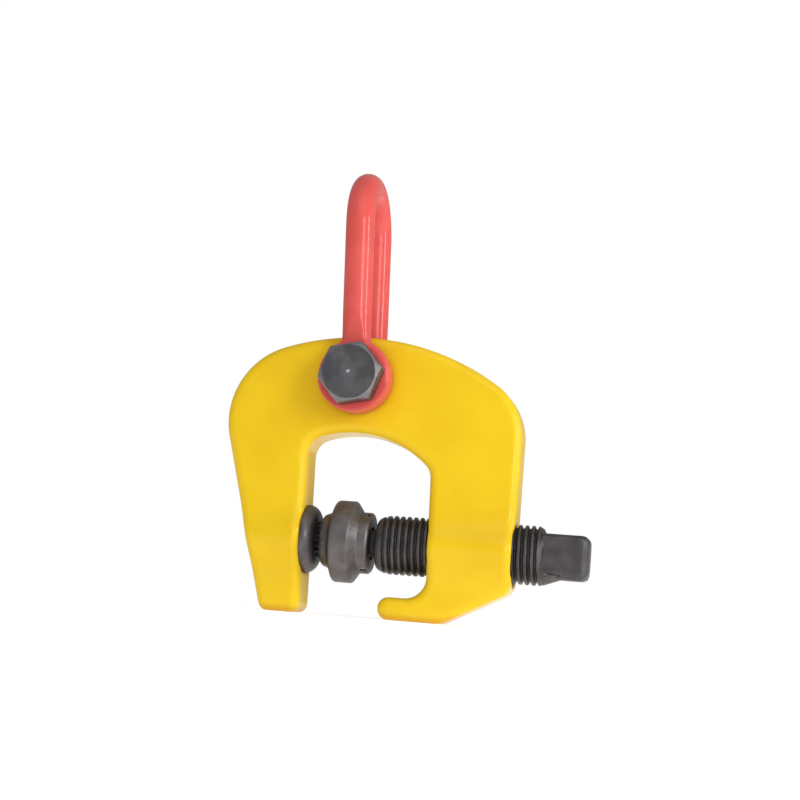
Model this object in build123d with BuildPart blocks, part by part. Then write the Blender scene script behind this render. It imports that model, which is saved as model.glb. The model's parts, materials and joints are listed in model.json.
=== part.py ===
"""Screw-type plate lifting clamp.

A forged C-shaped frame carries a bow shackle on a bolt through its crown. A clamp screw runs through the
right leg and pushes a self-aligning pad against a fixed pad on the left leg.

Frame of reference, in millimetres: the origin is the centre of the fixed pad's gripping face, +X runs along
the clamp screw towards its drive square, +Z runs up to the shackle and Y runs through the frame's thickness.
"""

from build123d import *
from math import asin, atan, cos, degrees, pi, radians, sin, sqrt
import os

# --- Driving dimensions ------------------------------------------------------------------------------------

# Clamp screw, M36 x 4
thread_diameter = 36.0
thread_pitch = 4.0
thread_start_x = 36.4
thread_end_x = 138.6
thread_crest_gap = 0.1
thread_root_radius = 15.6
thread_lead_in_x = 47.0
thread_tip_radius = 13.4
drive_across_flats = 27.0
drive_end_x = 165.5

# Frame
web_thickness = 32.0
screw_swell_inner = 5.6
screw_swell_outer = 8.0
pad_swell_inner = 7.6
pad_swell_outer = 0.6
swell_half_height = 27.0
swell_crest_share = 0.3
edge_round = 5.0
outer_x = 121.0
sole_z = -45.3
lip_top_z = -31.6
lip_tip_x = 41.2
crown_left_foot_x = -31.4
left_edge_angle = 15.5
left_edge_top_z = 58.6
shoulder_radius = 48.0
shoulder_sweep = 86.0
crown_radius = 151.0
crown_sweep = 53.1
inner_countersink_end_x = 70.0
outer_countersink_depth = 2.5
arch_radius = 66.0
arch_centre = (19.5, 0.1)
right_leg_inner_top_x = 67.1
right_leg_inner_foot_x = 70.1
left_leg_inner_top_x = -10.1
left_leg_inner_foot_x = -6.9

# Shackle and its bolt, M22
bolt_x = 19.0
bolt_z = 98.8
bolt_diameter = 22.0
bolt_head_flats = 34.0
bolt_head_height = 14.0
bolt_head_turn = 11.4
bush_outer_diameter = 30.0
thrust_washer_thickness = 1.0
thrust_washer_radius = 20.0
nut_washer_thickness = 3.0
nut_washer_radius = 19.5
side_gap = 0.2
eye_radius = 22.2
eye_thickness = 16.0
rod_diameter = 17.8
bow_radius = 28.2
bow_centre_height = 95.0
shackle_lean = 2.7

# Moving pad
rest_gap = 2.0
ball_diameter = 12.0
ball_x = 21.0
journal_radius = 9.0
journal_start_x = 23.5
journal_groove_radius = 5.6
groove_start_x = 27.2
groove_end_x = 32.8
pad_bore_radius = 10.4
pad_flange_radius = 25.0
pad_collar_radius = 18.7
pad_end_x = 32.8
retaining_pin_radius = 2.0
retaining_pin_x = 30.0
retaining_pin_offset = 8.3

# Fixed pad
fixed_seat_x = -8.8
fixed_rim_radius = 20.8
fixed_face_radius = 14.4
fixed_shank_radius = 7.0
fixed_shank_end_x = -24.8
cap_screw_radius = 4.0
cap_hole_radius = 4.5
counterbore_radius = 7.2
counterbore_floor_x = -30.5

# Clearances and the margin by which a cut runs past the surface it opens
bolt_hole_clearance = 0.2
split_pin_clearance = 0.25
ball_clearance = 0.05
pad_recess_clearance = 0.4
cut_margin = 5.0

os.makedirs("parts", exist_ok=True)

half_web = web_thickness / 2
thread_bore_radius = thread_diameter / 2
eye_inner_y = half_web + thrust_washer_thickness + side_gap
eye_outer_y = eye_inner_y + eye_thickness
bolt_axis = Axis((bolt_x, 0, bolt_z), (0, 1, 0))
bolt_section = Plane(origin=(bolt_x, 0, bolt_z), x_dir=(0, 1, 0), z_dir=(1, 0, 0))
screw_section = Plane.XZ


def facing_front(y):
    """Plane square to the shackle bolt at the given y, seen from the bolt head's side."""
    return Plane(origin=(bolt_x, y, bolt_z), x_dir=(1, 0, 0), z_dir=(0, -1, 0))


def square_to_screw(x):
    """Plane square to the clamp screw at the given x, with its normal along +X."""
    return Plane(origin=(x, 0, 0), x_dir=(0, 1, 0), z_dir=(1, 0, 0))


def save(name, part):
    part.label = name
    export_step(part, f"parts/{name}.step")


# --- Frame -------------------------------------------------------------------------------------------------


def arch_z(x):
    """Height of the throat's arched roof above the screw axis."""
    return arch_centre[1] + sqrt(arch_radius**2 - (x - arch_centre[0]) ** 2)


left_edge_run = (left_edge_top_z - sole_z) * sin(radians(left_edge_angle)) / cos(radians(left_edge_angle))
throat_corner_right = (right_leg_inner_top_x, arch_z(right_leg_inner_top_x))
throat_corner_left = (left_leg_inner_top_x, arch_z(left_leg_inner_top_x))
lip_root = (right_leg_inner_foot_x, lip_top_z)
heel_low = (79.7, sole_z)
heel_high = (outer_x, -23.5)
foot_left = (crown_left_foot_x, sole_z)
foot_right = (left_leg_inner_foot_x, sole_z)
lip_tip_low = (lip_tip_x, sole_z)
lip_tip_high = (lip_tip_x, lip_top_z)

# Outline corner and its radius
corner_radii = [
    (foot_left, 5.6),
    (foot_right, 5.2),
    (heel_low, 12.0),
    (heel_high, 9.0),
    (lip_tip_low, 6.4),
    (lip_tip_high, 6.4),
    (lip_root, 13.0),
    (throat_corner_right, 11.0),
    (throat_corner_left, 12.0),
]

slab_split_x = 30.0
slab_left_x = -63.0
slab_right_x = outer_x + 5
slab_reach = 200.0


def taper(x, first, last):
    """Value at x on the straight line through the points first and last, each (x, value)."""
    return first[1] + (last[1] - first[1]) * (x - first[0]) / (last[0] - first[0])


def thickness_section(x, swell):
    """The frame's full thickness at x: flat flanks with a soft swell of that height at the screw's axis."""
    turn = 2 * atan(swell / swell_half_height)
    arcs_radius = swell_half_height / sin(turn)
    crest_radius = swell_crest_share * arcs_radius
    foot_radius = arcs_radius - crest_radius
    with BuildSketch(square_to_screw(x)) as section:
        with BuildLine():
            lower = Polyline((0, -slab_reach), (half_web, -slab_reach), (half_web, -swell_half_height))
            rise = JernArc(lower @ 1, lower % 1, foot_radius, -degrees(turn))
            crest = JernArc(rise @ 1, rise % 1, crest_radius, 2 * degrees(turn))
            fall = JernArc(crest @ 1, crest % 1, foot_radius, -degrees(turn))
            Polyline(fall @ 1, (half_web, slab_reach), (0, slab_reach))
            mirror(about=Plane.YZ)
        make_face()
    return section.sketch


def leg_slab(first_x, last_x, swell_at):
    """The frame's thickness from first_x to last_x, with a swell that tapers along the leg."""
    with BuildPart() as slab:
        loft([thickness_section(x, swell_at(x)) for x in (first_x, last_x)], ruled=True)
    return slab


def pad_swell(x):
    return taper(x, (slab_left_x, pad_swell_outer), (fixed_seat_x, pad_swell_inner))


def screw_swell(x):
    return taper(x, (right_leg_inner_top_x, screw_swell_inner), (outer_x, screw_swell_outer))


left_slab = leg_slab(slab_left_x, slab_split_x, pad_swell)
right_slab = leg_slab(slab_split_x, slab_right_x, screw_swell)


def on_outline(edge):
    """True for an edge between a flank and the rim, not for a seam that runs along a boss."""
    along_leg = abs(edge.tangent_at(0.5).X) > 0.97 and abs(edge.center().Z) < 29
    across_y = abs(edge.tangent_at(0.5).Y) > 0.999
    return not across_y and not along_leg


frame_blank_half_thickness = 40.0

with BuildPart() as frame:
    with BuildSketch(Plane.XZ) as outline:
        with BuildLine():
            left_edge = Line(foot_left, (foot_left[0] - left_edge_run, left_edge_top_z))
            shoulder = JernArc(left_edge @ 1, left_edge % 1, shoulder_radius, -shoulder_sweep)
            crown = JernArc(shoulder @ 1, shoulder % 1, crown_radius, -crown_sweep)
            corner_sweep = 180 + left_edge_angle - shoulder_sweep - crown_sweep
            corner_angle = radians(corner_sweep)
            corner_radius = (outer_x - (crown @ 1).X) / (1 - cos(corner_angle))
            corner = JernArc(crown @ 1, crown % 1, corner_radius, -corner_sweep)
            Polyline(corner @ 1, heel_high, heel_low, lip_tip_low)
            Polyline(lip_tip_low, lip_tip_high, lip_root, throat_corner_right)
            ThreePointArc(
                throat_corner_right,
                (arch_centre[0], arch_centre[1] + arch_radius),
                throat_corner_left,
            )
            Polyline(throat_corner_left, foot_right, foot_left)
        make_face()
        for point, radius in corner_radii:
            fillet(outline.vertices().sort_by_distance(Vector(*point))[0], radius)
    extrude(amount=frame_blank_half_thickness, both=True)
    add(left_slab.part + right_slab.part, mode=Mode.INTERSECT)
    fillet(frame.edges().filter_by(on_outline), edge_round)

    with BuildSketch(facing_front(-half_web - cut_margin)):
        Circle(bush_outer_diameter / 2)
    extrude(amount=-(web_thickness + 2 * cut_margin), mode=Mode.SUBTRACT)

    with BuildSketch(screw_section):
        Polygon(
            (inner_countersink_end_x - 2 * cut_margin, 0),
            (inner_countersink_end_x - 2 * cut_margin, thread_bore_radius + 2 * cut_margin),
            (inner_countersink_end_x, thread_bore_radius),
            (outer_x - outer_countersink_depth, thread_bore_radius),
            (outer_x + cut_margin, thread_bore_radius + outer_countersink_depth + cut_margin),
            (outer_x + cut_margin, 0),
            align=None,
        )
    revolve(axis=Axis.X, mode=Mode.SUBTRACT)

    shank_pocket_end_x = fixed_shank_end_x - 0.5
    with BuildSketch(screw_section):
        Polygon(
            (counterbore_floor_x - 4 * cut_margin, 0),
            (counterbore_floor_x - 4 * cut_margin, counterbore_radius),
            (counterbore_floor_x, counterbore_radius),
            (counterbore_floor_x, cap_hole_radius),
            (shank_pocket_end_x, cap_hole_radius),
            (shank_pocket_end_x, fixed_shank_radius),
            (fixed_seat_x, fixed_shank_radius),
            (fixed_seat_x, fixed_rim_radius + pad_recess_clearance),
            (0, fixed_rim_radius + pad_recess_clearance),
            (0, 0),
            align=None,
        )
    revolve(axis=Axis.X, mode=Mode.SUBTRACT)

save("frame", frame.part)

# --- Helpers for round pieces ------------------------------------------------------------------------------


tooth_flank_share = 0.4
tooth_crest_share = 0.06
least_tooth_height = 0.05


def ring_teeth(start, end, pitch, root, crest, tip_limit=None):
    """Points (along, radius) of a thread seen in section, with its crests held under tip_limit(along)."""
    points = []
    for turn in range(int((end - start) / pitch)):
        middle = start + (turn + 0.5) * pitch
        height = crest if tip_limit is None else min(crest, tip_limit(middle))
        height = max(height, root + least_tooth_height)
        half_crest = pitch * tooth_crest_share
        half_base = half_crest + pitch * tooth_flank_share * (height - root) / (crest - root)
        points += [
            (middle - half_base, root),
            (middle - half_crest, height),
            (middle + half_crest, height),
            (middle + half_base, root),
        ]
    return points


def tube_on_bolt(start_y, end_y, outer_radius, inner_radius, edge=0.0):
    """A washer or bush on the shackle bolt's axis, from start_y to end_y."""
    with BuildPart() as piece:
        with BuildSketch(facing_front(end_y)):
            Circle(outer_radius)
            Circle(inner_radius, mode=Mode.SUBTRACT)
        extrude(amount=end_y - start_y)
        if edge:
            chamfer(piece.edges(), edge)
    return piece


# --- Bolt bush and washers ---------------------------------------------------------------------------------

bush_running_clearance = 0.05
bush_bore = bolt_diameter / 2 + bush_running_clearance
bolt_bush = tube_on_bolt(-half_web, half_web, bush_outer_diameter / 2, bush_bore)
save("bolt_bush", bolt_bush.part)

washer_edge = 0.2
washer_gap = 0.15
washer_near_y = half_web + washer_gap
washer_far_y = washer_near_y + thrust_washer_thickness
washer_bore = bolt_diameter / 2 + bolt_hole_clearance
for name, start_y in (("thrust_washer_front", -washer_far_y), ("thrust_washer_back", washer_near_y)):
    end_y = start_y + thrust_washer_thickness
    thrust_washer = tube_on_bolt(start_y, end_y, thrust_washer_radius, washer_bore, washer_edge)
    save(name, thrust_washer.part)

nut_face_y = eye_outer_y + nut_washer_thickness
nut_washer = tube_on_bolt(eye_outer_y, nut_face_y, nut_washer_radius, washer_bore, 2 * washer_edge)
save("nut_washer", nut_washer.part)

# --- Shackle -----------------------------------------------------------------------------------------------

lean = radians(shackle_lean)
shackle_plane = Plane(origin=(bolt_x, 0, bolt_z), x_dir=(0, 1, 0), z_dir=(cos(lean), 0, sin(lean)))
rod_radius = rod_diameter / 2
rod_inset = 0.2
leg_foot_y = eye_inner_y + rod_inset + rod_radius
foot_to_bow_centre = sqrt(leg_foot_y**2 + bow_centre_height**2)
leg_tilt = asin(bow_radius / foot_to_bow_centre) - atan(leg_foot_y / bow_centre_height)
rod_start = 13.0
spot_face_depth = 4.0
spot_face_radius = eye_radius + 1.4
rod_start_y = leg_foot_y + rod_start * sin(leg_tilt)
leg_end = (bow_radius * cos(leg_tilt), bow_centre_height - bow_radius * sin(leg_tilt))

with BuildPart() as shackle:
    with BuildLine(shackle_plane) as centreline:
        near_leg = Line((-rod_start_y, rod_start), (-leg_end[0], leg_end[1]))
        bow = JernArc(near_leg @ 1, near_leg % 1, bow_radius, -(180 + 2 * degrees(leg_tilt)))
        Line(bow @ 1, (rod_start_y, rod_start))
    with BuildSketch(Plane(origin=near_leg @ 0, z_dir=near_leg % 0)):
        Circle(rod_radius)
    sweep()
    for face_y in (-eye_inner_y, eye_outer_y):
        with BuildSketch(facing_front(face_y)):
            Circle(eye_radius)
        extrude(amount=eye_thickness)
    for cut_y in (-eye_outer_y, eye_outer_y + spot_face_depth):
        with BuildSketch(facing_front(cut_y)):
            Circle(spot_face_radius)
        extrude(amount=spot_face_depth, mode=Mode.SUBTRACT)
    with BuildSketch(facing_front(-eye_outer_y - cut_margin)):
        Circle(bolt_diameter / 2 + bolt_hole_clearance)
    extrude(amount=-2 * (eye_outer_y + cut_margin), mode=Mode.SUBTRACT)
save("shackle", shackle.part)

# --- Shackle bolt ------------------------------------------------------------------------------------------

castle_solid_height = 16.0
castle_crown_height = 8.0
nut_end_y = nut_face_y + castle_solid_height + castle_crown_height
bolt_projection = 2.5
bolt_end_y = nut_end_y + bolt_projection
split_pin_rise = 4.8
split_pin_y = nut_face_y + castle_solid_height + split_pin_rise
split_pin_radius = 2.3
split_pin_turn = 41.4
hex_radius = bolt_head_flats / 2 / cos(pi / 6)
bolt_radius = bolt_diameter / 2
head_face_y = -(eye_outer_y + bolt_head_height)
head_chamfer_depth = 3.2
head_chamfer_radius = bolt_head_flats / 2 * 0.95
head_washer_face = 0.6
head_washer_radius = hex_radius - 1.2
bolt_pitch = 2.5
bolt_root_radius = 9.6
bolt_thread_start_y = nut_face_y + 1.0
bolt_point = 1.6
bolt_thread_end_y = bolt_end_y - bolt_point
bolt_crest_radius = bolt_radius - 0.05

with BuildPart() as bolt_round:
    with BuildSketch(bolt_section):
        Polygon(
            (head_face_y, 0),
            (head_face_y, head_chamfer_radius),
            (head_face_y + head_chamfer_depth, hex_radius + 1),
            (-eye_outer_y - head_washer_face, hex_radius + 1),
            (-eye_outer_y, head_washer_radius),
            (-eye_outer_y, bolt_radius),
            (bolt_thread_start_y, bolt_radius),
            *ring_teeth(
                bolt_thread_start_y,
                bolt_thread_end_y,
                bolt_pitch,
                bolt_root_radius,
                bolt_crest_radius,
            ),
            (bolt_end_y - bolt_point, bolt_crest_radius),
            (bolt_end_y, bolt_crest_radius - bolt_point),
            (bolt_end_y, 0),
            align=None,
        )
    revolve(axis=bolt_axis)

with BuildPart() as shackle_bolt:
    with BuildSketch(facing_front(-eye_outer_y)):
        RegularPolygon(hex_radius, 6, rotation=bolt_head_turn)
    extrude(amount=bolt_head_height)
    with BuildSketch(facing_front(bolt_end_y)):
        Circle(bolt_radius)
    extrude(amount=bolt_end_y + eye_outer_y)
    add(bolt_round.part, mode=Mode.INTERSECT)
    pin_plane = Plane(
        origin=(bolt_x, split_pin_y, bolt_z),
        x_dir=(0, 1, 0),
        z_dir=(cos(radians(split_pin_turn)), 0, sin(radians(split_pin_turn))),
    )
    with BuildSketch(pin_plane):
        Circle(split_pin_radius + split_pin_clearance)
    extrude(amount=2 * bolt_radius, both=True, mode=Mode.SUBTRACT)
save("shackle_bolt", shackle_bolt.part)

# --- Castle nut and split pin ------------------------------------------------------------------------------

castle_crown_radius = 15.0
castle_slot_width = 5.4
nut_chamfer_depth = 2.4
nut_seat_chamfer = 1.0
bore_chamfer = 0.6
with BuildPart() as castle_round:
    with BuildSketch(bolt_section):
        Polygon(
            (nut_face_y, bolt_radius),
            (nut_face_y, hex_radius - nut_seat_chamfer),
            (nut_face_y + nut_seat_chamfer, hex_radius + cut_margin),
            (nut_face_y + castle_solid_height - nut_chamfer_depth, hex_radius + cut_margin),
            (nut_face_y + castle_solid_height - nut_chamfer_depth, hex_radius),
            (nut_face_y + castle_solid_height, castle_crown_radius + nut_seat_chamfer),
            (nut_face_y + castle_solid_height, castle_crown_radius),
            (nut_end_y - nut_seat_chamfer, castle_crown_radius),
            (nut_end_y, castle_crown_radius - nut_seat_chamfer),
            (nut_end_y, bolt_radius + bore_chamfer),
            (nut_end_y - bore_chamfer, bolt_radius),
            align=None,
        )
    revolve(axis=bolt_axis)

with BuildPart() as castle_nut:
    with BuildSketch(facing_front(nut_end_y)):
        RegularPolygon(hex_radius, 6, rotation=split_pin_turn + 30)
    extrude(amount=castle_solid_height + castle_crown_height)
    add(castle_round.part, mode=Mode.INTERSECT)
    with BuildSketch(facing_front(nut_end_y)):
        with PolarLocations(0, 3, start_angle=split_pin_turn, angular_range=180, endpoint=False):
            Rectangle(4 * castle_crown_radius, castle_slot_width)
    extrude(amount=castle_crown_height, mode=Mode.SUBTRACT)
save("castle_nut", castle_nut.part)

pin_reach = 17.6
pin_bend_radius = 3.4
pin_bend_angle = 78
pin_tail_length = 5.5
pin_half_gap = 0.05
pin_eye_radius = 5.2
pin_eye_hole_radius = 2.4
pin_eye_half_thickness = 1.9
pin_eye_offset = 3.4
with BuildPart() as split_pin:
    pin_side = Plane(origin=pin_plane.origin, x_dir=pin_plane.z_dir, z_dir=pin_plane.y_dir)
    for side in (-1, 1):
        with BuildLine(pin_side) as leg_path:
            straight = Line((-pin_reach, 0), (pin_reach, 0))
            bend = JernArc(straight @ 1, straight % 1, pin_bend_radius, side * pin_bend_angle)
            Line(bend @ 1, bend @ 1 + (bend % 1) * pin_tail_length)
        with BuildSketch(Plane(origin=straight @ 0, x_dir=pin_side.y_dir * side, z_dir=straight % 0)):
            with BuildLine():
                CenterArc((pin_half_gap, 0), split_pin_radius, -90, 180)
                Line((pin_half_gap, split_pin_radius), (pin_half_gap, -split_pin_radius))
            make_face()
        sweep(path=leg_path.line)
    with BuildSketch(pin_side):
        with Locations((-pin_reach - pin_eye_offset, 0)):
            Circle(pin_eye_radius)
            Circle(pin_eye_hole_radius, mode=Mode.SUBTRACT)
    extrude(amount=pin_eye_half_thickness, both=True)
save("split_pin", split_pin.part)

# --- Clamp screw -------------------------------------------------------------------------------------------

crest_radius = thread_diameter / 2 - thread_crest_gap
ball_radius = ball_diameter / 2
cup_radius = ball_radius + ball_clearance
journal_edge = 0.7
tip_chamfer = 0.6
journal_fillet = 1.0
thread_end_collar = 1.4
heel_crest_radius = crest_radius - tip_chamfer
heel_full_x = thread_end_x + 0.4
heel_end_x = thread_end_x + 12.4
heel_foot_radius = drive_across_flats / 2 - 0.8
heel_top_z = -9.0
drive_corner_radius = 3.9
drive_end_radius = 3.8


def lead_in(x):
    """Crest radius allowed by the long rounded lead-in at the screw's inner end."""
    along = (x - thread_start_x) / (thread_lead_in_x - thread_start_x)
    if along > 1:
        return crest_radius
    return thread_tip_radius + (crest_radius - thread_tip_radius) * (1 - (1 - along) ** 2) ** 0.5


with BuildPart() as drive_heel:
    with BuildSketch(screw_section):
        Polygon(
            (thread_end_x - thread_end_collar, 0),
            (thread_end_x - thread_end_collar, heel_crest_radius),
            (heel_full_x, heel_crest_radius),
            (heel_end_x, heel_foot_radius),
            (heel_end_x, 0),
            align=None,
        )
    revolve(axis=Axis.X)
    with BuildSketch(square_to_screw(thread_end_x - thread_end_collar)):
        with Locations((0, heel_top_z)):
            Rectangle(2 * crest_radius, crest_radius, align=(Align.CENTER, Align.MAX))
    extrude(amount=heel_end_x - thread_end_x + thread_end_collar, mode=Mode.INTERSECT)

with BuildPart() as clamp_screw:
    with BuildSketch(square_to_screw(thread_end_x - thread_end_collar)):
        RectangleRounded(drive_across_flats, drive_across_flats, drive_corner_radius)
    extrude(amount=drive_end_x - thread_end_x + thread_end_collar)
    fillet(clamp_screw.faces().sort_by(Axis.X)[-1].edges(), drive_end_radius)
    with BuildSketch(screw_section):
        Polygon(
            (journal_start_x, 0),
            (journal_start_x, journal_radius - journal_edge),
            (journal_start_x + journal_edge, journal_radius),
            (groove_start_x, journal_radius),
            (groove_start_x, journal_groove_radius),
            (groove_end_x, journal_groove_radius),
            (groove_end_x, journal_radius),
            (thread_start_x - journal_fillet, journal_radius),
            (thread_start_x, journal_radius + journal_fillet),
            (thread_start_x, thread_tip_radius - tip_chamfer),
            (thread_start_x + tip_chamfer, thread_tip_radius),
            *ring_teeth(
                thread_start_x + 2 * tip_chamfer,
                thread_end_x - 2 * thread_end_collar,
                thread_pitch,
                thread_root_radius,
                crest_radius,
                lead_in,
            ),
            (thread_end_x - 2 * thread_end_collar, thread_root_radius),
            (thread_end_x - 1.5 * thread_end_collar, crest_radius),
            (thread_end_x - thread_end_collar, crest_radius),
            (thread_end_x, crest_radius - thread_end_collar),
            (thread_end_x, 0),
            align=None,
        )
    revolve(axis=Axis.X)
    add(drive_heel.part)
    with BuildSketch(screw_section):
        with BuildLine():
            CenterArc((ball_x, 0), cup_radius, 0, 180)
            Line((ball_x - cup_radius, 0), (ball_x + cup_radius, 0))
        make_face()
    revolve(axis=Axis.X, mode=Mode.SUBTRACT)
save("clamp_screw", clamp_screw.part)

# --- Moving pad --------------------------------------------------------------------------------------------

with BuildPart() as thrust_ball:
    with BuildSketch(screw_section):
        with BuildLine():
            CenterArc((ball_x, 0), ball_radius, 0, 180)
            Line((ball_x - ball_radius, 0), (ball_x + ball_radius, 0))
        make_face()
    revolve(axis=Axis.X)
save("thrust_ball", thrust_ball.part)

seat_back_x = 12.5
seat_front_x = 18.0
seat_gap = 0.05
seat_radius = pad_bore_radius - 0.1
seat_chamfer = 0.5
with BuildPart() as thrust_seat:
    with BuildSketch(screw_section):
        Polygon(
            (seat_back_x, 0),
            (seat_back_x, seat_radius - seat_chamfer),
            (seat_back_x + seat_chamfer, seat_radius),
            (seat_front_x, seat_radius),
            (seat_front_x, 0),
            align=None,
        )
    revolve(axis=Axis.X)
    with BuildSketch(screw_section):
        with BuildLine():
            CenterArc((ball_x, 0), cup_radius, 0, 180)
            Line((ball_x - cup_radius, 0), (ball_x + cup_radius, 0))
        make_face()
    revolve(axis=Axis.X, mode=Mode.SUBTRACT)
save("thrust_seat", thrust_seat.part)

insert_shank_radius = 5.0
insert_floor_x = 6.6
insert_shank_end_x = 11.0


teeth_pitch = 3.2
teeth_depth = 1.3
insert_chamfer = 0.8
shank_chamfer = 0.6
teeth_overcut = 0.1


def gripping_insert(face_x, floor_x, shank_end_x, radius, shank_radius):
    """A hardened round insert with pyramid teeth on the face at face_x and a press-in shank behind."""
    outward = 1 if shank_end_x > face_x else -1
    with BuildPart() as piece:
        with BuildSketch(screw_section):
            Polygon(
                (face_x, 0),
                (face_x, radius - insert_chamfer),
                (face_x + outward * insert_chamfer, radius),
                (floor_x, radius),
                (floor_x, shank_radius),
                (shank_end_x - outward * shank_chamfer, shank_radius),
                (shank_end_x, shank_radius - shank_chamfer),
                (shank_end_x, 0),
                align=None,
            )
        revolve(axis=Axis.X)
        count = int(radius / teeth_pitch)
        for direction in (Plane.XY, Plane.XZ):
            with BuildSketch(direction):
                for step in range(-count, count + 1):
                    middle = (step + 0.5) * teeth_pitch
                    if abs(middle) < radius:
                        Polygon(
                            (face_x - outward * teeth_overcut, middle - teeth_depth),
                            (face_x + outward * teeth_depth, middle),
                            (face_x - outward * teeth_overcut, middle + teeth_depth),
                            align=None,
                        )
            extrude(amount=radius + 1, both=True, mode=Mode.SUBTRACT)
    return piece


nose_x = rest_gap + 0.7
nose_radius = 15.7
nose_chamfer = 0.7
neck_x = 7.6
neck_radius = 17.3
flange_start_x = 10.7
flange_end_x = 21.8
collar_start_x = 26.2
insert_radius = 13.2
pad_insert = gripping_insert(rest_gap, insert_floor_x, insert_shank_end_x, insert_radius, insert_shank_radius)
save("pad_insert", pad_insert.part)

with BuildPart() as pad_body:
    with BuildSketch(screw_section) as pad_profile:
        with BuildLine():
            Polyline(
                (pad_end_x, pad_bore_radius),
                (seat_back_x - seat_gap, pad_bore_radius),
                (seat_back_x - seat_gap, insert_shank_radius),
                (insert_floor_x, insert_shank_radius),
                (insert_floor_x, insert_radius),
                (nose_x, insert_radius),
                (nose_x, nose_radius - nose_chamfer),
                (nose_x + nose_chamfer, nose_radius),
                (neck_x, neck_radius),
                (flange_start_x, pad_flange_radius),
                (flange_end_x, pad_flange_radius),
                (collar_start_x, pad_collar_radius),
                (pad_end_x, pad_collar_radius),
                (pad_end_x, pad_bore_radius),
            )
        make_face()
        soft_corners = [
            ((neck_x, neck_radius), 1.6),
            ((flange_start_x, pad_flange_radius), 2.2),
            ((flange_end_x, pad_flange_radius), 2.0),
            ((collar_start_x, pad_collar_radius), 0.8),
            ((pad_end_x, pad_collar_radius), 1.8),
        ]
        for point, radius in soft_corners:
            fillet(pad_profile.vertices().sort_by_distance(Vector(*point))[0], radius)
    revolve(axis=Axis.X)
    for side in (-retaining_pin_offset, retaining_pin_offset):
        with BuildSketch(Plane.XY):
            with Locations((retaining_pin_x, side)):
                Circle(retaining_pin_radius)
        extrude(amount=pad_collar_radius, both=True, mode=Mode.SUBTRACT)
save("pad_body", pad_body.part)

retaining_pin_recess = 0.9
retaining_pin_chamfer = 0.5
collar_half_chord = sqrt(pad_collar_radius**2 - retaining_pin_offset**2)
retaining_pin_half_length = collar_half_chord - retaining_pin_recess
for name, side in (("pad_pin_front", -retaining_pin_offset), ("pad_pin_back", retaining_pin_offset)):
    with BuildPart() as retaining_pin:
        with BuildSketch(Plane.XY):
            with Locations((retaining_pin_x, side)):
                Circle(retaining_pin_radius)
        extrude(amount=retaining_pin_half_length, both=True)
        chamfer(retaining_pin.faces().filter_by(Plane.XY).edges(), retaining_pin_chamfer)
    save(name, retaining_pin.part)

# --- Fixed pad ---------------------------------------------------------------------------------------------

fixed_insert_radius = 11.4
fixed_recess_x = -5.0
fixed_insert_shank_end_x = -9.0
fixed_insert_shank_radius = 4.5
fixed_rim_x = -6.5
fixed_lip_x = -0.7
fixed_dome_point = (-2.6, 18.4)
fixed_seat_chamfer = 0.4
cap_screw_end_x = -12.0

fixed_pad_insert = gripping_insert(
    0, fixed_recess_x, fixed_insert_shank_end_x, fixed_insert_radius, fixed_insert_shank_radius
)
save("fixed_pad_insert", fixed_pad_insert.part)

with BuildPart() as fixed_pad:
    with BuildSketch(screw_section):
        with BuildLine():
            Polyline(
                (fixed_lip_x, fixed_face_radius),
                (fixed_lip_x, fixed_insert_radius),
                (fixed_recess_x, fixed_insert_radius),
                (fixed_recess_x, fixed_insert_shank_radius),
                (fixed_insert_shank_end_x, fixed_insert_shank_radius),
                (fixed_insert_shank_end_x, cap_screw_radius),
                (fixed_shank_end_x, cap_screw_radius),
                (fixed_shank_end_x, fixed_shank_radius - shank_chamfer),
                (fixed_shank_end_x + shank_chamfer, fixed_shank_radius),
                (fixed_seat_x, fixed_shank_radius),
                (fixed_seat_x, fixed_rim_radius - fixed_seat_chamfer),
                (fixed_seat_x + fixed_seat_chamfer, fixed_rim_radius),
                (fixed_rim_x, fixed_rim_radius),
            )
            ThreePointArc((fixed_rim_x, fixed_rim_radius), fixed_dome_point, (fixed_lip_x, fixed_face_radius))
        make_face()
    revolve(axis=Axis.X)
save("fixed_pad", fixed_pad.part)

lock_washer_thickness = 1.8
lock_washer_radius = 6.4
lock_washer_split = 1.0
lock_washer_split_tilt = 20
lock_washer_end_x = counterbore_floor_x - lock_washer_thickness
with BuildPart() as fixed_pad_lock_washer:
    with BuildSketch(square_to_screw(lock_washer_end_x)):
        Circle(lock_washer_radius)
        Circle(cap_screw_radius + bolt_hole_clearance, mode=Mode.SUBTRACT)
        with Locations(((lock_washer_radius + cap_screw_radius) / 2, 0)):
            Rectangle(
                cap_screw_radius,
                lock_washer_split,
                rotation=lock_washer_split_tilt,
                mode=Mode.SUBTRACT,
            )
    extrude(amount=lock_washer_thickness)
save("fixed_pad_lock_washer", fixed_pad_lock_washer.part)

cap_head_height = 8.0
cap_head_radius = 6.5
cap_head_edge = 0.6
cap_screw_point = 0.8
hex_key_flats = 6.0
hex_key_depth = 4.0
cap_head_x = lock_washer_end_x - cap_head_height
with BuildPart() as fixed_pad_screw:
    with BuildSketch(screw_section):
        Polygon(
            (cap_head_x, 0),
            (cap_head_x, cap_head_radius - cap_head_edge),
            (cap_head_x + cap_head_edge, cap_head_radius),
            (lock_washer_end_x, cap_head_radius),
            (lock_washer_end_x, cap_screw_radius),
            (cap_screw_end_x - cap_screw_point, cap_screw_radius),
            (cap_screw_end_x, cap_screw_radius - cap_screw_point),
            (cap_screw_end_x, 0),
            align=None,
        )
    revolve(axis=Axis.X)
    with BuildSketch(square_to_screw(cap_head_x)):
        RegularPolygon(hex_key_flats / 2 / cos(pi / 6), 6)
    extrude(amount=hex_key_depth, mode=Mode.SUBTRACT)
save("fixed_pad_screw", fixed_pad_screw.part)
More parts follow.
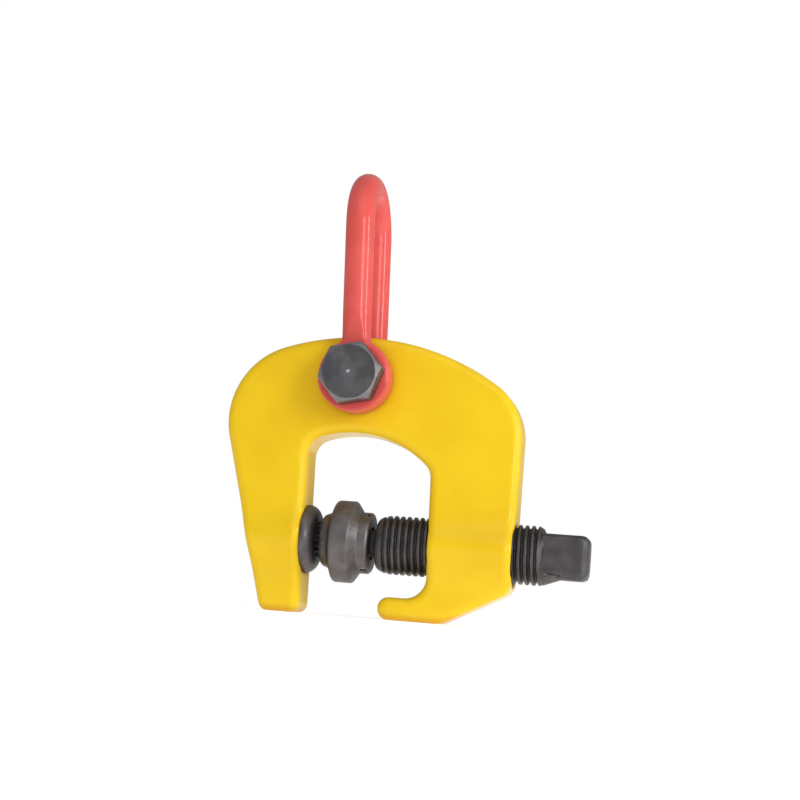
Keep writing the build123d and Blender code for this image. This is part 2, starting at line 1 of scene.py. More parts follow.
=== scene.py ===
"""Looks of the screw-type plate lifting clamp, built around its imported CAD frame.

Lengths are in metres. +X runs along the clamp screw towards its drive square, +Z up to the shackle, and the
origin is the centre of the fixed pad's gripping face.
"""

import json
import math

import bmesh
import bpy
from mathutils import Matrix, Vector


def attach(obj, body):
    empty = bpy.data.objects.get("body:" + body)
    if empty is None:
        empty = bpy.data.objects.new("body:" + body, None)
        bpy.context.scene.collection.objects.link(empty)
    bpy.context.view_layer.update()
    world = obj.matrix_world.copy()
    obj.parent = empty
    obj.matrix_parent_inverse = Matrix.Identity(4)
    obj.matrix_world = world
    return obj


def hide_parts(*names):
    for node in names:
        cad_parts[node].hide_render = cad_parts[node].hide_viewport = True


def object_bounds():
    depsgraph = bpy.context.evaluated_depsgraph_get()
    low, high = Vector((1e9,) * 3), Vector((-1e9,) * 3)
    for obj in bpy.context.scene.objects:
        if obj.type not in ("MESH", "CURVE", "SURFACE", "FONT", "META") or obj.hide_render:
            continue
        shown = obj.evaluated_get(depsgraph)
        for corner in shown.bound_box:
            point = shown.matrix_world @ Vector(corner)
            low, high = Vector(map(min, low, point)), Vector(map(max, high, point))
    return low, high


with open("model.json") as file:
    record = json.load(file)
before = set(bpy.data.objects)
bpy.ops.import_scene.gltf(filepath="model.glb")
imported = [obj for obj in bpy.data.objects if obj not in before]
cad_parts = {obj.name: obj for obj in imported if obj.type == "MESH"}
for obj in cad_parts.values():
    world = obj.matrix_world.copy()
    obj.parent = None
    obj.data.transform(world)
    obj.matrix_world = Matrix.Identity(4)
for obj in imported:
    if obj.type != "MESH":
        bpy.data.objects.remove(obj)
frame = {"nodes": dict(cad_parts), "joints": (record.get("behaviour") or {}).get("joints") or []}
cad_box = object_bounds()
nodes = frame["nodes"]
MM = 0.001

# --- Sizes, in millimetres ---------------------------------------------------------------------------------

# Clamp screw, M36 x 4, right-hand
THREAD_PITCH = 4.0
THREAD_CREST_RADIUS = 17.9
THREAD_ROOT_RADIUS = 15.9
FLANK_START = 0.26  # where the flank leaves the crest and meets the root, as shares of half a pitch
FLANK_END = 0.94
THREAD_START_X = 36.4
THREAD_END_X = 138.6
RUN_OUT_LENGTH = 2.6
RUN_OUT_RISE = 1.2
RUN_OUT_INSET = 0.25
LEAD_IN_END_X = 47.0
END_CHAMFER_START_X = 134.6
END_CHAMFER_SLOPE = 0.55
TIP_RADIUS = 13.4

# Neck of the clamp screw, which the moving pad turns on
JOURNAL_START_X = 23.5
JOURNAL_RADIUS = 9.0
JOURNAL_CHAMFER = 0.7
GROOVE_START_X = 27.2
GROOVE_END_X = 32.8
GROOVE_RADIUS = 5.6
GROOVE_FILLET = 0.5
EDGE_BREAK = 0.2
NECK_FILLET = 1.0
BALL_X = 21.0
CUP_RADIUS = 6.05

# Drive square and its forged heel, whose top is a drop below the screw's axis
DRIVE_FLATS = 27.0
DRIVE_CORNER = 4.0
DRIVE_END_X = 165.5
DRIVE_END_ROUND = 4.6
HEEL_TOP_DROP = 9.4
HEEL_BLEND = 2.2
HEEL_START_X = 138.8
HEEL_END_X = 151.5
HEEL_START_RADIUS = 17.3
HEEL_END_RADIUS = 12.6

# Crease along the heel, which sinks and widens towards the drive end
CREASE_DEPTH = 2.0
CREASE_DROP = 0.9
CREASE_SLANT = 2.2
CREASE_HALF_WIDTH = 0.9
CREASE_FLARE = 0.8

# Shackle: its eyes, and the necks where its rods run into them, as distances from the bolt's axis
EYE_RADIUS = 22.2
EYE_FACE_Y = 33.4
ROD_FACE_Y = 37.2
NECK_START = 19.0
NECK_END = 48.0
RELAX_INNER_START = 17.9
RELAX_INNER_BLEND = 3.0
RELAX_OUTER_END = EYE_RADIUS + 16
RELAX_OUTER_BLEND = 8.0
RELAX_BELOW_BOLT = 4.0

# Shackle bolt's head: the chamfer starts outside its round face, which has a centre punch
HEAD_FACE_RADIUS = 15.4
HEAD_RIM_RADIUS = 16.4
PUNCH_RADIUS = 1.5

# --- Mesh helpers ------------------------------------------------------------------------------------------


def smooth_step(value, low, high):
    share = min(1.0, max(0.0, (value - low) / (high - low)))
    return share * share * (3 - 2 * share)


def new_piece(name, mesh, body, material, replaced):
    """Puts a finished mesh in the scene, riding on a CAD body in place of the CAD nodes it replaces."""
    piece = bpy.data.objects.new(name, mesh)
    bpy.context.scene.collection.objects.link(piece)
    mesh.materials.clear()
    mesh.materials.append(material)
    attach(piece, body)
    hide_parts(*replaced)


def skin_of_rings(name, rings, sharp_angle):
    """A closed mesh through rings of equal point counts, with a flat cap on each end ring.

    It is shaded smooth, except across edges that turn by more than sharp_angle degrees.
    """
    mesh = bpy.data.meshes.new(name)
    count = len(rings[0])
    points = [point for ring in rings for point in ring]
    faces = []
    for ring in range(len(rings) - 1):
        low, high = ring * count, (ring + 1) * count
        for step in range(count):
            after = (step + 1) % count
            faces.append((low + step, low + after, high + after, high + step))
    faces.append(tuple(reversed(range(count))))
    faces.append(tuple(range(len(points) - count, len(points))))
    mesh.from_pydata(points, [], faces)
    bm = bmesh.new()
    bm.from_mesh(mesh)
    bmesh.ops.recalc_face_normals(bm, faces=bm.faces)
    bm.to_mesh(mesh)
    bm.free()
    mesh.shade_smooth()
    mesh.set_sharp_from_angle(angle=math.radians(sharp_angle))
    return mesh


def ring_about_screw(x, radius_at, count):
    """Points round the screw's axis at x millimetres, with radius_at(angle) in millimetres."""
    ring = []
    for step in range(count):
        angle = 2 * math.pi * step / count
        radius = radius_at(angle)
        ring.append((x * MM, radius * math.cos(angle) * MM, radius * math.sin(angle) * MM))
    return ring


def cast_copy(node, name, voxel, rounds):
    """A dense copy of a CAD node with the soft corners of a forging under thick paint."""
    rough = bpy.data.objects.new(name, nodes[node].data.copy())
    bpy.context.scene.collection.objects.link(rough)
    weld = rough.modifiers.new("weld", "WELD")
    weld.merge_threshold = 1e-6
    remesh = rough.modifiers.new("remesh", "REMESH")
    remesh.mode = "VOXEL"
    remesh.voxel_size = voxel * MM
    soften = rough.modifiers.new("soften", "SMOOTH")
    soften.factor = 0.5
    soften.iterations = rounds
    evaluated = rough.evaluated_get(bpy.context.evaluated_depsgraph_get())
    mesh = bpy.data.meshes.new_from_object(evaluated)
    mesh.name = name
    bpy.data.objects.remove(rough)
    mesh.shade_smooth()
    return mesh


def relax(mesh, weight_at, rounds):
    """Evens out a mesh where weight_at(point) is above zero, which fills its inside corners."""
    bm = bmesh.new()
    bm.from_mesh(mesh)
    moving = [(vertex, weight_at(vertex.co)) for vertex in bm.verts]
    moving = [(vertex, weight) for vertex, weight in moving if weight > 0]
    for _ in range(rounds):
        places = []
        for vertex, weight in moving:
            middle = Vector()
            for edge in vertex.link_edges:
                middle += edge.other_vert(vertex).co
            middle /= len(vertex.link_edges)
            places.append(vertex.co.lerp(middle, 0.5 * weight))
        for (vertex, _weight), place in zip(moving, places):
            vertex.co = place
    bm.to_mesh(mesh)
    bm.free()


# --- Material helpers --------------------------------------------------------------------------------------


class Finish:
    """A Principled material under construction, in the coordinates of the piece it covers."""

    def __init__(self, name, metallic=0.0, coat=0.0, coat_roughness=0.1):
        self.material = bpy.data.materials.new(name)
        self.material.use_nodes = True
        self.tree = self.material.node_tree
        self.shader = self.tree.nodes["Principled BSDF"]
        self.shader.inputs["Metallic"].default_value = metallic
        self.shader.inputs["Coat Weight"].default_value = coat
        self.shader.inputs["Coat Roughness"].default_value = coat_roughness
        self.place = self.tree.nodes.new("ShaderNodeTexCoord").outputs["Object"]
        self.surface = self.tree.nodes.new("ShaderNodeNewGeometry").outputs["Normal"]
        self.normal = None

    def join(self, source, target):
        if isinstance(source, bpy.types.NodeSocket):
            self.tree.links.new(source, target)
        else:
            target.default_value = source

    def noise(self, size, detail, stretch=(1, 1, 1), offset=0.0):
        """Soft noise from 0 to 1 with features about size millimetres across."""
        mapping = self.tree.nodes.new("ShaderNodeMapping")
        mapping.inputs["Scale"].default_value = stretch
        mapping.inputs["Location"].default_value = (offset, offset, offset)
        self.join(self.place, mapping.inputs["Vector"])
        node = self.tree.nodes.new("ShaderNodeTexNoise")
        node.inputs["Scale"].default_value = 1 / (size * MM)
        node.inputs["Detail"].default_value = detail
        self.join(mapping.outputs["Vector"], node.inputs["Vector"])
        return node.outputs["Fac"]

    def spread(self, value, low, high, to_low=0.0, to_high=1.0):
        """value from low to high, carried over to to_low to to_high and held there outside."""
        node = self.tree.nodes.new("ShaderNodeMapRange")
        node.interpolation_type = "SMOOTHSTEP"
        targets = ("Value", "From Min", "From Max", "To Min", "To Max")
        for target, source in zip(targets, (value, low, high, to_low, to_high)):
            self.join(source, node.inputs[target])
        return node.outputs["Result"]

    def math(self, operation, first, second=0.0):
        node = self.tree.nodes.new("ShaderNodeMath")
        node.operation = operation
        self.join(first, node.inputs[0])
        self.join(second, node.inputs[1])
        return node.outputs["Value"]

    def mix(self, share, first, second):
        """A colour share of the way from first to second; each is a socket or three numbers."""
        node = self.tree.nodes.new("ShaderNodeMix")
        node.data_type = "RGBA"
        self.join(share, node.inputs["Factor"])
        for source, target in ((first, node.inputs["A"]), (second, node.inputs["B"])):
            self.join(source if isinstance(source, bpy.types.NodeSocket) else (*source, 1.0), target)
        return node.outputs["Result"]

    def off_axis(self, centre):
        """Distance in metres from the line through centre that runs along Y."""
        across = self.tree.nodes.new("ShaderNodeVectorMath")
        across.operation = "SUBTRACT"
        self.join(self.place, across.inputs[0])
        across.inputs[1].default_value = centre
        flat = self.tree.nodes.new("ShaderNodeVectorMath")
        flat.operation = "MULTIPLY"
        self.join(across.outputs["Vector"], flat.inputs[0])
        flat.inputs[1].default_value = (1.0, 0.0, 1.0)
        length = self.tree.nodes.new("ShaderNodeVectorMath")
        length.operation = "LENGTH"
        self.join(flat.outputs["Vector"], length.inputs[0])
        return length.outputs["Value"]

    def facing_y(self):
        """How squarely the surface faces along Y, from 0 to 1."""
        dot = self.tree.nodes.new("ShaderNodeVectorMath")
        dot.operation = "DOT_PRODUCT"
        self.join(self.surface, dot.inputs[0])
        dot.inputs[1].default_value = (0.0, 1.0, 0.0)
        return self.math("ABSOLUTE", dot.outputs["Value"])

    def edges(self, radius, full_at):
        """1 on edges and corners that are sharper than radius millimetres, 0 on open faces.

        It is full where rounding them would turn the surface by an angle whose cosine is full_at or less.
        """
        bevel = self.tree.nodes.new("ShaderNodeBevel")
        bevel.samples = 8
        bevel.inputs["Radius"].default_value = radius * MM
        dot = self.tree.nodes.new("ShaderNodeVectorMath")
        dot.operation = "DOT_PRODUCT"
        self.join(bevel.outputs["Normal"], dot.inputs[0])
        self.join(self.surface, dot.inputs[1])
        return self.spread(dot.outputs["Value"], full_at, 1.0, 1.0, 0.0)

    def crevice_shade(self, reach, open_at=0.85):
        """0 on open faces, rising to 1 in corners and gaps narrower than reach millimetres; colours darken by
        it as painted shade.
        """
        node = self.tree.nodes.new("ShaderNodeAmbientOcclusion")
        node.samples = 8
        node.inputs["Distance"].default_value = reach * MM
        return self.spread(node.outputs["AO"], open_at - 0.65, open_at, 1.0, 0.0)

    def relief(self, height, depth, strength):
        """Adds bump of depth millimetres where height goes from 0 to 1."""
        node = self.tree.nodes.new("ShaderNodeBump")
        node.inputs["Strength"].default_value = strength
        node.inputs["Distance"].default_value = depth * MM
        self.join(height, node.inputs["Height"])
        if self.normal is not None:
            self.join(self.normal, node.inputs["Normal"])
        self.normal = node.outputs["Normal"]

    def finish(self, colour, roughness):
        self.join(colour, self.shader.inputs["Base Color"])
        self.join(roughness, self.shader.inputs["Roughness"])
        if self.normal is not None:
            self.join(self.normal, self.shader.inputs["Normal"])
        return self.material


PRIMER = (0.085, 0.070, 0.060)


def enamel(name, bright, deep, shade_colour, chip_share):
    """Thick enamel over a forging: orange peel, soft runs, painted shade in corners, and chips on knocked
    edges.
    """
    look = Finish(name, coat=0.55, coat_roughness=0.15)
    look.shader.inputs["Coat IOR"].default_value = 1.38
    look.shader.inputs["Specular IOR Level"].default_value = 0.03
    cloud = look.spread(look.noise(38, 3), 0.35, 0.65)
    fine = look.spread(look.noise(2.2, 4), 0.3, 0.75)
    colour = look.mix(look.math("MULTIPLY", cloud, 0.6), bright, deep)
    colour = look.mix(look.math("MULTIPLY", fine, 0.10), colour, deep)
    rubbed = look.math("MULTIPLY", look.edges(2.4, 0.93), look.spread(look.noise(7, 3), 0.45, 0.7))
    colour = look.mix(look.math("MULTIPLY", rubbed, 0.30), colour, deep)
    # Painted shade: the colour darkens towards the shade colour in corners and gaps, where shadow falls.
    colour = look.mix(look.math("MULTIPLY", look.crevice_shade(9.0), 0.55), colour, shade_colour)
    knocks = look.spread(look.noise(3.1, 5, offset=0.37), 1.0 - chip_share, 1.02 - chip_share)
    chips = look.math("MULTIPLY", look.edges(1.6, 0.95), knocks)
    colour = look.mix(chips, colour, PRIMER)
    runs, orange_peel, paint_left = look.noise(9, 2), look.noise(1.6, 1.5), look.math("SUBTRACT", 1.0, chips)
    look.relief(runs, 0.14, 0.6)
    look.relief(orange_peel, 0.035, 0.6)
    look.relief(paint_left, 0.12, 0.8)
    gloss = look.spread(look.noise(16, 4), 0.3, 0.7, 0.33, 0.45)
    gloss = look.math("ADD", gloss, look.math("MULTIPLY", chips, 0.3))
    return look.finish(colour, gloss)


# Colour of the painted shade that darkens gaps and corners in the steel.
GAP_SHADE = (0.012, 0.011, 0.011)


def oxidised(
    name, dark, light, worn,
    turned=True, wear=0.5, wear_reach=0.7, gap_shade=0.85, gap_shade_reach=5.0, bolt_at=None,
):
    """Black oxide on machined steel: soft patches, painted shade in gaps, tool marks, bright worn edges.

    turned adds a lathe's marks, and bolt_at the polished chamfer and centre punch of a bolt's head there.
    """
    look = Finish(name, metallic=0.65)
    patches = look.spread(look.noise(11, 4), 0.35, 0.68)
    colour = look.mix(patches, dark, light)
    stain = look.spread(look.noise(4.0, 5, offset=0.7), 0.55, 0.75)
    rusty = (light[0], light[1] * 0.85, light[2] * 0.78)
    colour = look.mix(look.math("MULTIPLY", stain, 0.35), colour, rusty)
    scuffs = look.spread(look.noise(1.8, 5, offset=0.21), 0.42, 0.66)
    bare = look.math("MULTIPLY", look.edges(wear_reach, 0.9), scuffs)
    bare = look.math("MULTIPLY", bare, wear)
    colour = look.mix(bare, colour, worn)
    # Painted shade: the colour darkens towards the shade colour in gaps and corners.
    colour = look.mix(look.math("MULTIPLY", look.crevice_shade(gap_shade_reach, 0.93), gap_shade), colour, GAP_SHADE)
    polished = 0.0
    if bolt_at is not None:
        facing = look.facing_y()
        not_side, not_end = look.spread(facing, 0.55, 0.70), look.spread(facing, 0.90, 0.97, 1.0, 0.0)
        sloping = look.math("MULTIPLY", not_side, not_end)
        rim = look.spread(look.off_axis(bolt_at), HEAD_FACE_RADIUS * MM, HEAD_RIM_RADIUS * MM)
        polished = look.math("MULTIPLY", look.math("MULTIPLY", sloping, rim), 0.16)
        colour = look.mix(polished, colour, worn)
        punch = look.spread(look.off_axis(bolt_at), PUNCH_RADIUS / 3 * MM, PUNCH_RADIUS * MM, 1.0, 0.0)
        colour = look.mix(look.math("MULTIPLY", punch, 0.5), colour, worn)
        look.relief(look.math("SUBTRACT", 1.0, punch), 0.5, 1.0)
    if turned:
        tool_marks = look.noise(0.45, 2, stretch=(1, 0.02, 0.02))
        look.relief(tool_marks, 0.012, 0.7)
    grain, waves = look.noise(0.8, 4), look.noise(6, 3)
    look.relief(grain, 0.015, 0.6)
    look.relief(waves, 0.05, 0.4)
    roughness = look.spread(look.noise(5, 4, offset=0.5), 0.3, 0.7, 0.36, 0.52)
    roughness = look.math("SUBTRACT", roughness, look.math("MULTIPLY", bare, 0.1))
    roughness = look.math("SUBTRACT", roughness, look.math("MULTIPLY", polished, 0.5))
    return look.finish(colour, roughness)


def ground_steel(name, tone):
    """Bright ground steel with fine scratches and a few finger marks."""
    look = Finish(name, metallic=1.0)
    smear = look.spread(look.noise(5, 4), 0.35, 0.7)
    colour = look.mix(smear, tone, tuple(part * 0.72 for part in tone))
    look.relief(look.noise(0.3, 3, stretch=(1, 0.1, 0.1)), 0.006, 0.6)
    roughness = look.spread(look.noise(2, 4, offset=0.3), 0.3, 0.7, 0.22, 0.42)
    return look.finish(colour, roughness)


def bronze(name):
    """Sintered bronze, dull where oil has darkened it."""
    look = Finish(name, metallic=1.0)
    oil = look.spread(look.noise(6, 4), 0.38, 0.66)
    colour = look.mix(oil, (0.48, 0.30, 0.13), (0.20, 0.13, 0.07))
    look.relief(look.noise(0.25, 3), 0.02, 0.7)
    return look.finish(colour, look.spread(look.noise(1.5, 3), 0.3, 0.7, 0.38, 0.6))


# Each enamel's third colour is the shade painted into its corners and gaps.
yellow_enamel = enamel(
    "yellow_enamel",
    bright=(0.785, 0.525, 0.011), deep=(0.715, 0.450, 0.008), shade_colour=(0.46, 0.20, 0.006), chip_share=0.37,
)
red_enamel = enamel(
    "red_enamel",
    bright=(0.68, 0.104, 0.090), deep=(0.585, 0.070, 0.060), shade_colour=(0.30, 0.014, 0.012), chip_share=0.35,
)
# Each steel's shade settings give the strength and reach of the shade painted into its gaps.
screw_oxide = oxidised(
    "screw_oxide", (0.056, 0.052, 0.053), (0.086, 0.080, 0.082), (0.34, 0.33, 0.33), gap_shade=0.6, gap_shade_reach=4.0,
)
pad_oxide = oxidised(
    "pad_oxide", (0.100, 0.091, 0.092), (0.150, 0.138, 0.141), (0.46, 0.44, 0.44),
    wear=0.75, wear_reach=1.1, gap_shade=0.9, gap_shade_reach=16.0,
)
insert_steel = oxidised(
    "insert_steel", (0.06, 0.056, 0.056), (0.10, 0.096, 0.096), (0.30, 0.29, 0.29),
    turned=False, gap_shade=0.95, gap_shade_reach=9.0,
)
bolt_centre = Vector(next(joint for joint in frame["joints"] if joint["name"] == "shackle_swing")["pos_m"])
bolt_phosphate = oxidised(
    "bolt_phosphate", (0.070, 0.067, 0.074), (0.122, 0.118, 0.126), (0.66, 0.65, 0.68),
    turned=False, wear=0.35, bolt_at=bolt_centre,
)
bright_steel = ground_steel("bright_steel", (0.46, 0.45, 0.44))
bush_bronze = bronze("bush_bronze")

# --- Frame and shackle -------------------------------------------------------------------------------------

frame_mesh = cast_copy("frame", "frame_forging", voxel=0.8, rounds=8)
new_piece("frame_forging", frame_mesh, "frame_body", yellow_enamel, ["frame"])


def from_bolt(point):
    """Distance in millimetres from the shackle bolt's axis."""
    return math.hypot(point.x - bolt_centre.x, point.z - bolt_centre.z) / MM


def neck_weight(point):
    """How freely the shackle's skin moves at point: most where the rod meets the eye, none at the bolt."""
    out = from_bolt(point)
    inner = min(1.0, max(0.0, (out - RELAX_INNER_START) / RELAX_INNER_BLEND))
    outer = min(1.0, max(0.0, (RELAX_OUTER_END - out) / RELAX_OUTER_BLEND))
    above = 1.0 if point.z > bolt_centre.z - RELAX_BELOW_BOLT * MM else 0.0
    return inner * outer * above


def taper_necks(mesh):
    """Lets the outer side of each rod run down to the flat face that the bolt's head or nut sits on."""
    for vertex in mesh.vertices:
        point = vertex.co
        out = from_bolt(point)
        if point.z > bolt_centre.z and out < NECK_END:
            share = smooth_step(out, NECK_START, NECK_END)
            reach = (EYE_FACE_Y + (ROD_FACE_Y - EYE_FACE_Y) * share) * MM
            point.y = max(-reach, min(reach, point.y))
    return mesh


shackle_mesh = taper_necks(cast_copy("shackle", "shackle_forging", voxel=0.75, rounds=6))
relax(shackle_mesh, neck_weight, rounds=30)
new_piece("shackle_forging", shackle_mesh, "shackle_body", red_enamel, ["shackle"])

# --- Clamp screw -------------------------------------------------------------------------------------------


def thread_height(x, angle):
    """Radius of the right-hand thread at x and angle, inside the rounded lead-in and the end chamfer.

    The chamfer fades out over the drive end's heel, which runs on from the thread.
    """
    phase = (x / THREAD_PITCH - angle / (2 * math.pi)) % 1.0
    from_crest = abs(phase - 0.5) * 2
    depth = THREAD_CREST_RADIUS - THREAD_ROOT_RADIUS
    radius = THREAD_CREST_RADIUS - depth * smooth_step(from_crest, FLANK_START, FLANK_END)
    along = min(1.0, (x - THREAD_START_X) / (LEAD_IN_END_X - THREAD_START_X))
    lead_in = TIP_RADIUS + (THREAD_CREST_RADIUS - TIP_RADIUS) * math.sqrt(max(0.0, 1 - (1 - along) ** 2))
    run_out = THREAD_END_X - RUN_OUT_LENGTH
    if x > run_out:
        filled = smooth_step(x, run_out, run_out + RUN_OUT_RISE)
        radius = radius + (THREAD_CREST_RADIUS - RUN_OUT_INSET - radius) * filled
    end_chamfer = THREAD_CREST_RADIUS - END_CHAMFER_SLOPE * max(0.0, x - END_CHAMFER_START_X)
    drop = -math.sin(angle) * THREAD_CREST_RADIUS
    on_heel = smooth_step(drop, HEEL_TOP_DROP - 1, HEEL_TOP_DROP + 3)
    return min(radius, lead_in, end_chamfer + (THREAD_CREST_RADIUS - end_chamfer) * on_heel)


def square_radius(angle, half, corner):
    """Distance from the axis to a rounded square's outline in the direction angle."""
    turn = (angle + math.pi / 4) % (math.pi / 2) - math.pi / 4
    flat_end = half - corner
    straight = half / math.cos(turn)
    if abs(half * math.tan(turn)) <= flat_end:
        return straight
    reach = flat_end * (math.cos(abs(turn)) + math.sin(abs(turn)))
    side = flat_end * (math.cos(abs(turn)) - math.sin(abs(turn)))
    return reach + math.sqrt(max(0.0, corner**2 - side**2))


def drive_radius(x, angle):
    """Radius of the drive end: a rounded square, with a forged heel under it that slopes up to the flat."""
    half = DRIVE_FLATS / 2
    past = max(0.0, x - (DRIVE_END_X - DRIVE_END_ROUND))
    inset = DRIVE_END_ROUND - math.sqrt(max(0.0, DRIVE_END_ROUND**2 - past**2))
    radius = square_radius(angle, half - inset, DRIVE_CORNER)
    along = min(1.0, max(0.0, (x - HEEL_START_X) / (HEEL_END_X - HEEL_START_X)))
    heel = HEEL_START_RADIUS + (HEEL_END_RADIUS - HEEL_START_RADIUS) * along
    drop = -math.sin(angle) * radius
    share = smooth_step(drop, HEEL_TOP_DROP, HEEL_TOP_DROP + HEEL_BLEND)
    radius = max(radius, radius + (heel - radius) * share)
    crease_drop = HEEL_TOP_DROP + CREASE_DROP + CREASE_SLANT * along
    crease_width = CREASE_HALF_WIDTH + CREASE_FLARE * along
    across = max(0.0, 1 - ((drop - crease_drop) / crease_width) ** 2)
    fade_in = smooth_step(x, HEEL_START_X - 0.5, HEEL_START_X + 4)
    fade_out = 1 - smooth_step(x, HEEL_END_X - 4, HEEL_END_X - 1.5)
    return radius - CREASE_DEPTH * across * fade_in * fade_out


def screw_rings(count):
    """Rings of the whole clamp screw, from its ball cup to its drive end."""
    profile = []
    cup_steps = 10
    cup_edge = math.acos((JOURNAL_START_X - BALL_X) / CUP_RADIUS)
    for step in range(cup_steps + 1):
        angle = cup_edge * max(step, 0.04) / cup_steps
        profile.append((BALL_X + CUP_RADIUS * math.cos(angle), CUP_RADIUS * math.sin(angle)))
    profile += [
        (JOURNAL_START_X, JOURNAL_RADIUS - JOURNAL_CHAMFER),
        (JOURNAL_START_X + EDGE_BREAK, JOURNAL_RADIUS - 0.25),
        (JOURNAL_START_X + JOURNAL_CHAMFER, JOURNAL_RADIUS),
        (GROOVE_START_X - EDGE_BREAK, JOURNAL_RADIUS),
        (GROOVE_START_X, JOURNAL_RADIUS - EDGE_BREAK),
        (GROOVE_START_X, GROOVE_RADIUS + GROOVE_FILLET),
        (GROOVE_START_X + GROOVE_FILLET, GROOVE_RADIUS),
        (GROOVE_END_X - GROOVE_FILLET, GROOVE_RADIUS),
        (GROOVE_END_X, GROOVE_RADIUS + GROOVE_FILLET),
        (GROOVE_END_X, JOURNAL_RADIUS - EDGE_BREAK),
        (GROOVE_END_X + EDGE_BREAK, JOURNAL_RADIUS),
        (THREAD_START_X - NECK_FILLET, JOURNAL_RADIUS + 0.1),
        (THREAD_START_X, JOURNAL_RADIUS + NECK_FILLET),
        (THREAD_START_X, TIP_RADIUS - 1.2),
        (THREAD_START_X + EDGE_BREAK, TIP_RADIUS - 0.5),
    ]
    rings = [ring_about_screw(x, lambda angle, radius=radius: radius, count) for x, radius in profile]
    steps_per_pitch = 18
    first_x, last_x = THREAD_START_X + 0.5, THREAD_END_X - 1.2
    for step in range(int((last_x - first_x) / THREAD_PITCH * steps_per_pitch) + 1):
        x = first_x + step * THREAD_PITCH / steps_per_pitch
        rings.append(ring_about_screw(x, lambda angle, x=x: thread_height(x, angle), count))
    end_face = [
        (THREAD_END_X - 0.9, THREAD_CREST_RADIUS - 2.2),
        (THREAD_END_X - 0.45, THREAD_CREST_RADIUS - 2.8),
        (THREAD_END_X - 0.1, THREAD_CREST_RADIUS - 3.6),
    ]
    for x, radius in end_face:
        rings.append(
            ring_about_screw(x, lambda angle, x=x, radius=radius: max(radius, drive_radius(x, angle)), count)
        )
    round_start_x = DRIVE_END_X - DRIVE_END_ROUND
    drive_xs = [THREAD_END_X + 0.02 * step**2 for step in range(0, 5)]
    drive_xs += [THREAD_END_X + 0.8 + step * 0.5 for step in range(0, 28)]
    drive_xs += [round_start_x - 4, round_start_x]
    round_steps = 8
    for step in range(1, round_steps + 1):
        drive_xs.append(round_start_x + DRIVE_END_ROUND * math.sin(math.pi / 2 * step / round_steps))
    for x in drive_xs:
        rings.append(ring_about_screw(x, lambda angle, x=x: drive_radius(x, angle), count))
    return rings


screw_mesh = skin_of_rings("clamp_screw_threaded", screw_rings(count=240), sharp_angle=35)
new_piece("clamp_screw_threaded", screw_mesh, "screw_body", screw_oxide, ["clamp_screw"])

# --- CAD pieces that keep their shape ----------------------------------------------------------------------


def dress(node, material, edge=0.25):
    """Gives a CAD piece its material and the small rounding of a real machined edge."""
    piece = nodes[node]
    piece.data.materials.clear()
    piece.data.materials.append(material)
    weld = piece.modifiers.new("weld", "WELD")
    weld.merge_threshold = 1e-6
    flats = piece.modifiers.new("flats", "DECIMATE")
    flats.decimate_type = "DISSOLVE"
    flats.angle_limit = math.radians(1.0)
    round_edges = piece.modifiers.new("round_edges", "BEVEL")
    round_edges.width = edge * MM
    round_edges.segments = 3
    round_edges.limit_method = "ANGLE"
    round_edges.angle_limit = math.radians(35)
    round_edges.harden_normals = True


for node in ("shackle_bolt", "castle_nut", "nut_washer", "fixed_pad_screw", "fixed_pad_lock_washer"):
    dress(node, bolt_phosphate)
for node in ("pad_body", "fixed_pad"):
    dress(node, pad_oxide)
for node in ("pad_insert", "fixed_pad_insert"):
    dress(node, insert_steel, 0.08)
for node in ("thrust_ball", "thrust_seat", "pad_pin_front", "pad_pin_back", "split_pin"):
    dress(node, bright_steel, 0.1)
for node in ("bolt_bush", "thrust_washer_front", "thrust_washer_back"):
    dress(node, bush_bronze, 0.1)

# --- Stage, light and camera -------------------------------------------------------------------------------

low, high = cad_box
centre = (low + high) / 2
PAPER_WHITE = (1.0, 1.0, 0.997, 1.0)
PAPER_GLOW = 1.0
PAPER_BACKLIGHT = 0.52
ROOM_STRENGTH = 0.41
SUN_DISTANCE = 3.0


def pale_paper():
    """White paper over a light table, with the faintest unevenness."""
    look = Finish("pale_paper")
    tone = look.mix(look.spread(look.noise(300, 2), 0.3, 0.7), (0.93, 0.93, 0.925), (0.915, 0.915, 0.915))
    look.shader.inputs["Emission Color"].default_value = PAPER_WHITE
    look.shader.inputs["Emission Strength"].default_value = PAPER_BACKLIGHT
    return look.finish(tone, 0.9)


def paper_floor(half_width):
    """A wide sheet of paper that the clamp stands on."""
    corners = [(-1, -1), (1, -1), (1, 1), (-1, 1)]
    mesh = bpy.data.meshes.new("paper_floor")
    mesh.from_pydata([(x * half_width, y * half_width, low.z) for x, y in corners], [], [(0, 1, 2, 3)])
    mesh.materials.append(pale_paper())
    floor = bpy.data.objects.new("paper_floor", mesh)
    bpy.context.scene.collection.objects.link(floor)


paper_floor(half_width=40.0)


def towards(azimuth, elevation):
    """The direction from the clamp to a light or the camera; azimuth 0 is in front of it, 90 at its right."""
    turn, lift = math.radians(azimuth), math.radians(elevation)
    return Vector((math.sin(turn) * math.cos(lift), -math.cos(turn) * math.cos(lift), math.sin(lift)))


def hang_light(name, data, direction, distance):
    light = bpy.data.objects.new(name, data)
    light.location = centre + direction * distance
    light.rotation_mode = "QUATERNION"
    light.rotation_quaternion = (-direction).to_track_quat("-Z", "Y")
    bpy.context.scene.collection.objects.link(light)


def soft_box(name, azimuth, elevation, distance, width, height, power):
    """A rectangular softbox aimed at the clamp."""
    data = bpy.data.lights.new(name, "AREA")
    data.shape = "RECTANGLE"
    data.size = width
    data.size_y = height
    data.energy = power
    hang_light(name, data, towards(azimuth, elevation), distance)


def overhead_key(name, azimuth, elevation, strength, spread):
    """The main light: a diffuser so large and far that it lights the paper as evenly as the clamp."""
    data = bpy.data.lights.new(name, "SUN")
    data.energy = strength
    data.angle = math.radians(spread)
    hang_light(name, data, towards(azimuth, elevation), SUN_DISTANCE)


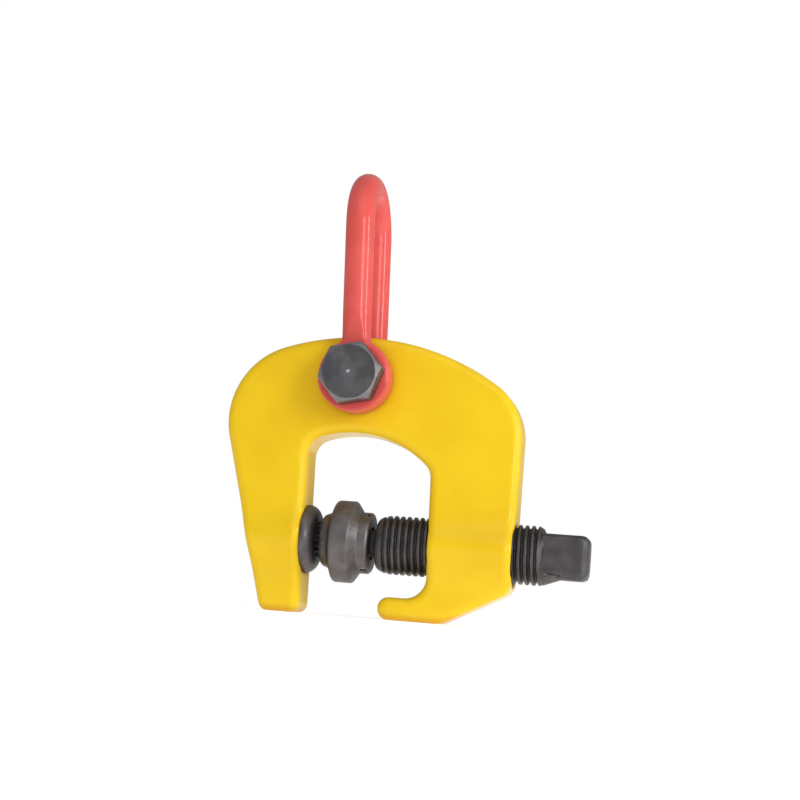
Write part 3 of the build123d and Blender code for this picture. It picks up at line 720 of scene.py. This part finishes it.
overhead_key("overhead_key", azimuth=16, elevation=48, strength=0.55, spread=50)
soft_box("right_box", azimuth=38, elevation=12, distance=1.5, width=0.44, height=0.55, power=7)
soft_box("side_strip", azimuth=80, elevation=14, distance=1.4, width=0.15, height=0.6, power=6.5)


def studio_world():
    """Soft light from the room's walls, which the camera sees as the same white as the paper."""
    world = bpy.data.worlds.new("studio")
    world.use_nodes = True
    tree = world.node_tree
    room = tree.nodes["Background"]
    room.inputs["Color"].default_value = (1.0, 1.0, 1.0, 1.0)
    room.inputs["Strength"].default_value = ROOM_STRENGTH
    paper = tree.nodes.new("ShaderNodeBackground")
    paper.inputs["Color"].default_value = PAPER_WHITE
    paper.inputs["Strength"].default_value = PAPER_GLOW
    seen = tree.nodes.new("ShaderNodeLightPath")
    either = tree.nodes.new("ShaderNodeMixShader")
    tree.links.new(seen.outputs["Is Camera Ray"], either.inputs[0])
    tree.links.new(room.outputs[0], either.inputs[1])
    tree.links.new(paper.outputs[0], either.inputs[2])
    tree.links.new(either.outputs[0], tree.nodes["World Output"].inputs["Surface"])
    bpy.context.scene.world = world


studio_world()
bpy.context.scene.view_settings.view_transform = "Standard"

CAMERA_TARGET = Vector((42.7, 0.0, 89.4)) * MM
CAMERA_AZIMUTH = 10.46
CAMERA_ELEVATION = -7.17
CAMERA_ROLL = 4.67
CAMERA_DISTANCE = 1.0
CAMERA_LENS = 72.9


def place_camera():
    """The camera stands a little to the right and just above the floor, and leans a few degrees."""
    turn, roll = math.radians(CAMERA_AZIMUTH), math.radians(CAMERA_ROLL)
    back = towards(CAMERA_AZIMUTH, CAMERA_ELEVATION)
    right = Vector((math.cos(turn), math.sin(turn), 0.0))
    up = back.cross(right)
    leaned_right = right * math.cos(roll) + up * math.sin(roll)
    leaned_up = up * math.cos(roll) - right * math.sin(roll)
    data = bpy.data.cameras.new("camera")
    data.lens = CAMERA_LENS
    data.sensor_width = 36.0
    data.clip_start = 0.01
    camera = bpy.data.objects.new("camera", data)
    place = Matrix.Translation(CAMERA_TARGET + back * CAMERA_DISTANCE)
    camera.matrix_world = place @ Matrix((leaned_right, leaned_up, back)).transposed().to_4x4()
    bpy.context.scene.collection.objects.link(camera)
    bpy.context.scene.camera = camera


place_camera()
